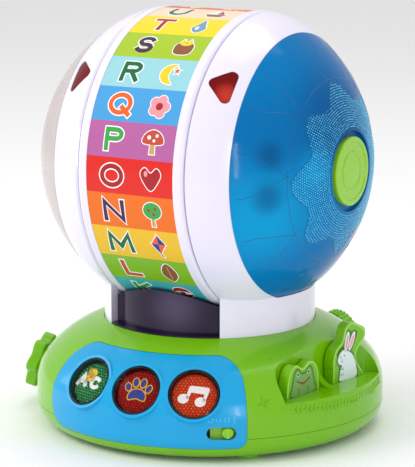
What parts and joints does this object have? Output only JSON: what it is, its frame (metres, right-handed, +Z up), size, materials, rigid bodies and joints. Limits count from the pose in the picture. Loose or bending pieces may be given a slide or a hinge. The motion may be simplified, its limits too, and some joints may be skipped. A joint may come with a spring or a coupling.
{
  "type": "letter wheel sound toy",
  "caption": "Round electronic baby toy: a spinning letter wheel between a blue and a clear dome on a green base with push buttons, a side gear and pop-up figures.",
  "frame": {"origin": "bottom middle of the whole toy, side knobs included; the round base and the wheel are centred 7.0 mm to +X and 2.8 mm to -Y of it", "axes": "+Z up, the front with the buttons faces -Y, the wheel turns about the X direction, the blue dome is on +X"},
  "size_m": [0.2281, 0.2248, 0.2535],
  "materials": {
    "green_body": "smooth moulded green",
    "green_figure": "smooth moulded green",
    "frog_colour": "printed",
    "rabbit_white": "printed",
    "white_arm": "smooth moulded white",
    "letter_print": "printed label in coloured cells",
    "red_window": "translucent red",
    "blue_clear": "translucent blue with a moulded pattern",
    "clear": "clear",
    "plum_panel": "dark plum, glossy",
    "blue_panel": "sky blue",
    "green_lens": "translucent green",
    "red_lens": "translucent dark red",
    "orange_lens": "translucent orange-red",
    "green_picture": "printed",
    "red_picture": "printed",
    "orange_picture": "printed",
    "inner_white": "plain",
    "steel": "plated",
    "reflector_blue": "blue",
    "reflector_pink": "pale pink-grey",
    "black_part": "black",
    "circuit": "circuit board green",
    "lamp": "clear lamp body",
    "battery": "dark sleeve",
    "yellow_cap": "yellow",
    "green_knob": "light green"
  },
  "bodies": {
    "base": {"base_bottom_shell": "green_body", "base_feet": "green_body", "base_top_shell": "green_body", "batteries": "battery", "battery_contacts": "steel", "battery_door": "green_body", "battery_door_screw": "steel", "blue_dome": "blue_clear", "button_green_spring": "steel", "button_leds": "lamp", "button_orange_spring": "steel", "button_red_spring": "steel", "button_switches": "circuit", "case_screws": "steel", "circuit_board": "circuit", "clear_dome": "clear", "control_panel": "blue_panel", "hub_cap": "green_body", "left_arm": "white_arm", "left_arrow_window": "red_window", "left_axle_bush": "inner_white", "left_reflector": "reflector_pink", "letter_sensor": "circuit", "neck_collars": "white_arm", "pedestal_back": "plum_panel", "pedestal_front": "plum_panel", "right_arm": "white_arm", "right_arrow_window": "red_window", "right_axle_bush": "inner_white", "right_reflector": "reflector_blue", "seesaw_pin": "steel", "speaker": "black_part", "volume_pot": "black_part"},
    "wheel": {"letter_band": "letter_print", "wheel_drum_right": "white_arm", "wheel_drum_left": "white_arm", "wheel_axle": "steel", "code_ring": "black_part", "axle_end_caps": "yellow_cap"},
    "green_button": {"button_green_lens": "green_lens", "button_green_picture": "green_picture", "button_green_plunger": "inner_white"},
    "red_button": {"button_red_lens": "red_lens", "button_red_picture": "red_picture", "button_red_plunger": "inner_white"},
    "orange_button": {"button_orange_lens": "orange_lens", "button_orange_picture": "orange_picture", "button_orange_plunger": "inner_white"},
    "volume_switch": {"volume_knob": "green_knob"},
    "gear": {"gear_knob": "green_body", "gear_shaft": "inner_white"},
    "dial": {"rear_dial": "green_body", "rear_dial_shaft": "inner_white"},
    "seesaw": {"seesaw_rocker": "inner_white"},
    "frog": {"frog_plaque": "green_figure", "frog_print": "frog_colour"},
    "rabbit": {"rabbit_plaque": "green_figure", "rabbit_print": "rabbit_white"}
  },
  "joints": [
    {"name": "wheel_spin", "type": "hinge", "parent": "base", "child": "wheel", "pos_m": [0.007, -0.0028, 0.1625], "axis": [1, 0, 0], "continuous": true},
    {"name": "green_button_press", "type": "slide", "parent": "base", "child": "green_button", "axis": [0.2048, 0.8034, -0.5592], "range_m": [0, 0.002], "stiffness_N_per_m": 600, "springref_m": -0.002, "deforming": ["button_green_spring"]},
    {"name": "red_button_press", "type": "slide", "parent": "base", "child": "red_button", "axis": [-0.0823, 0.8249, -0.5592], "range_m": [0, 0.002], "stiffness_N_per_m": 600, "springref_m": -0.002, "deforming": ["button_red_spring"]},
    {"name": "orange_button_press", "type": "slide", "parent": "base", "child": "orange_button", "axis": [-0.3595, 0.747, -0.5592], "range_m": [0, 0.002], "stiffness_N_per_m": 600, "springref_m": -0.002, "deforming": ["button_orange_spring"]},
    {"name": "volume_slide", "type": "slide", "parent": "base", "child": "volume_switch", "axis": [0.8241, 0.5664, 0], "range_m": [-0.0085, 0.0012]},
    {"name": "gear_turn", "type": "hinge", "parent": "base", "child": "gear", "pos_m": [-0.09821, -0.0223, 0.0235], "axis": [-0.9448, -0.2008, 0.2588], "continuous": true},
    {"name": "dial_turn", "type": "hinge", "parent": "base", "child": "dial", "pos_m": [0.0396, 0.09754, 0.034], "axis": [0.3023, 0.9303, 0.2079], "continuous": true},
    {"name": "rabbit_slide", "type": "slide", "parent": "base", "child": "rabbit", "axis": [0, 0, 1], "range_m": [-0.01202, 0]},
    {"name": "seesaw_tilt", "type": "hinge", "parent": "base", "child": "seesaw", "pos_m": [0.08573, -0.01386, 0.019], "axis": [0.9903, -0.1392, 0], "range_deg": [-29, 0]},
    {"name": "frog_slide", "type": "slide", "parent": "base", "child": "frog", "axis": [0, 0, 1], "range_m": [0, 0.01202]}
  ],
  "couplings": [
    {"joint": "seesaw_tilt", "follows": "rabbit_slide", "rad_per_m": 42.109},
    {"joint": "frog_slide", "follows": "rabbit_slide", "ratio": -1}
  ]
}
